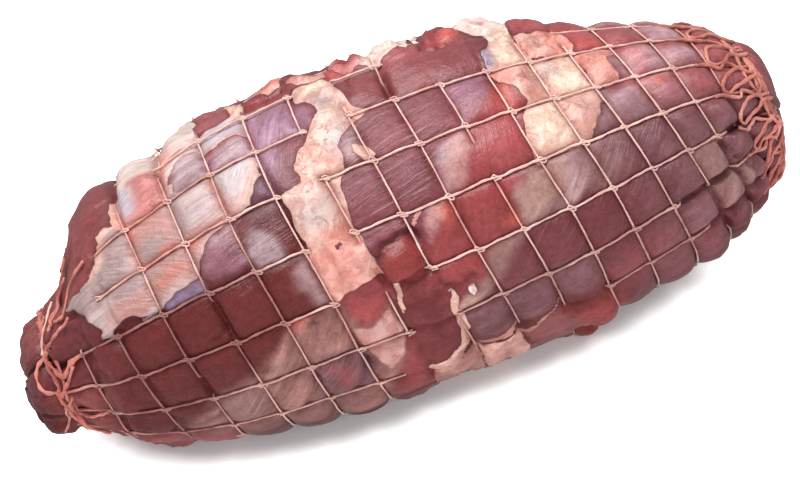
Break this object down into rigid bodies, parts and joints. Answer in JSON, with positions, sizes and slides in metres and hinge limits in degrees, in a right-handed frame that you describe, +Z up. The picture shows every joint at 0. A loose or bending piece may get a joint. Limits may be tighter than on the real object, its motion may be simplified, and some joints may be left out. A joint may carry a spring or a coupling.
{
  "type": "raw rolled boar shoulder",
  "caption": "Raw boned shoulder of boar rolled into a barrel that tapers to both ends, held in a knitted elastic net so that the meat swells out between the cords.",
  "frame": {"origin": "on the table under the middle of the roll's box", "axes": "+X along the roll towards its blunter end, -Y towards the viewer, +Z up"},
  "size_m": [0.2806, 0.1163, 0.1108],
  "materials": {
    "meat": "moist raw meat with patches of fat and silverskin",
    "net": "pale knitted elastic cord, damp and tinted pink by the meat"
  },
  "bodies": {
    "root": {"meat_roll": "meat", "net": "net"}
  },
  "joints": []
}
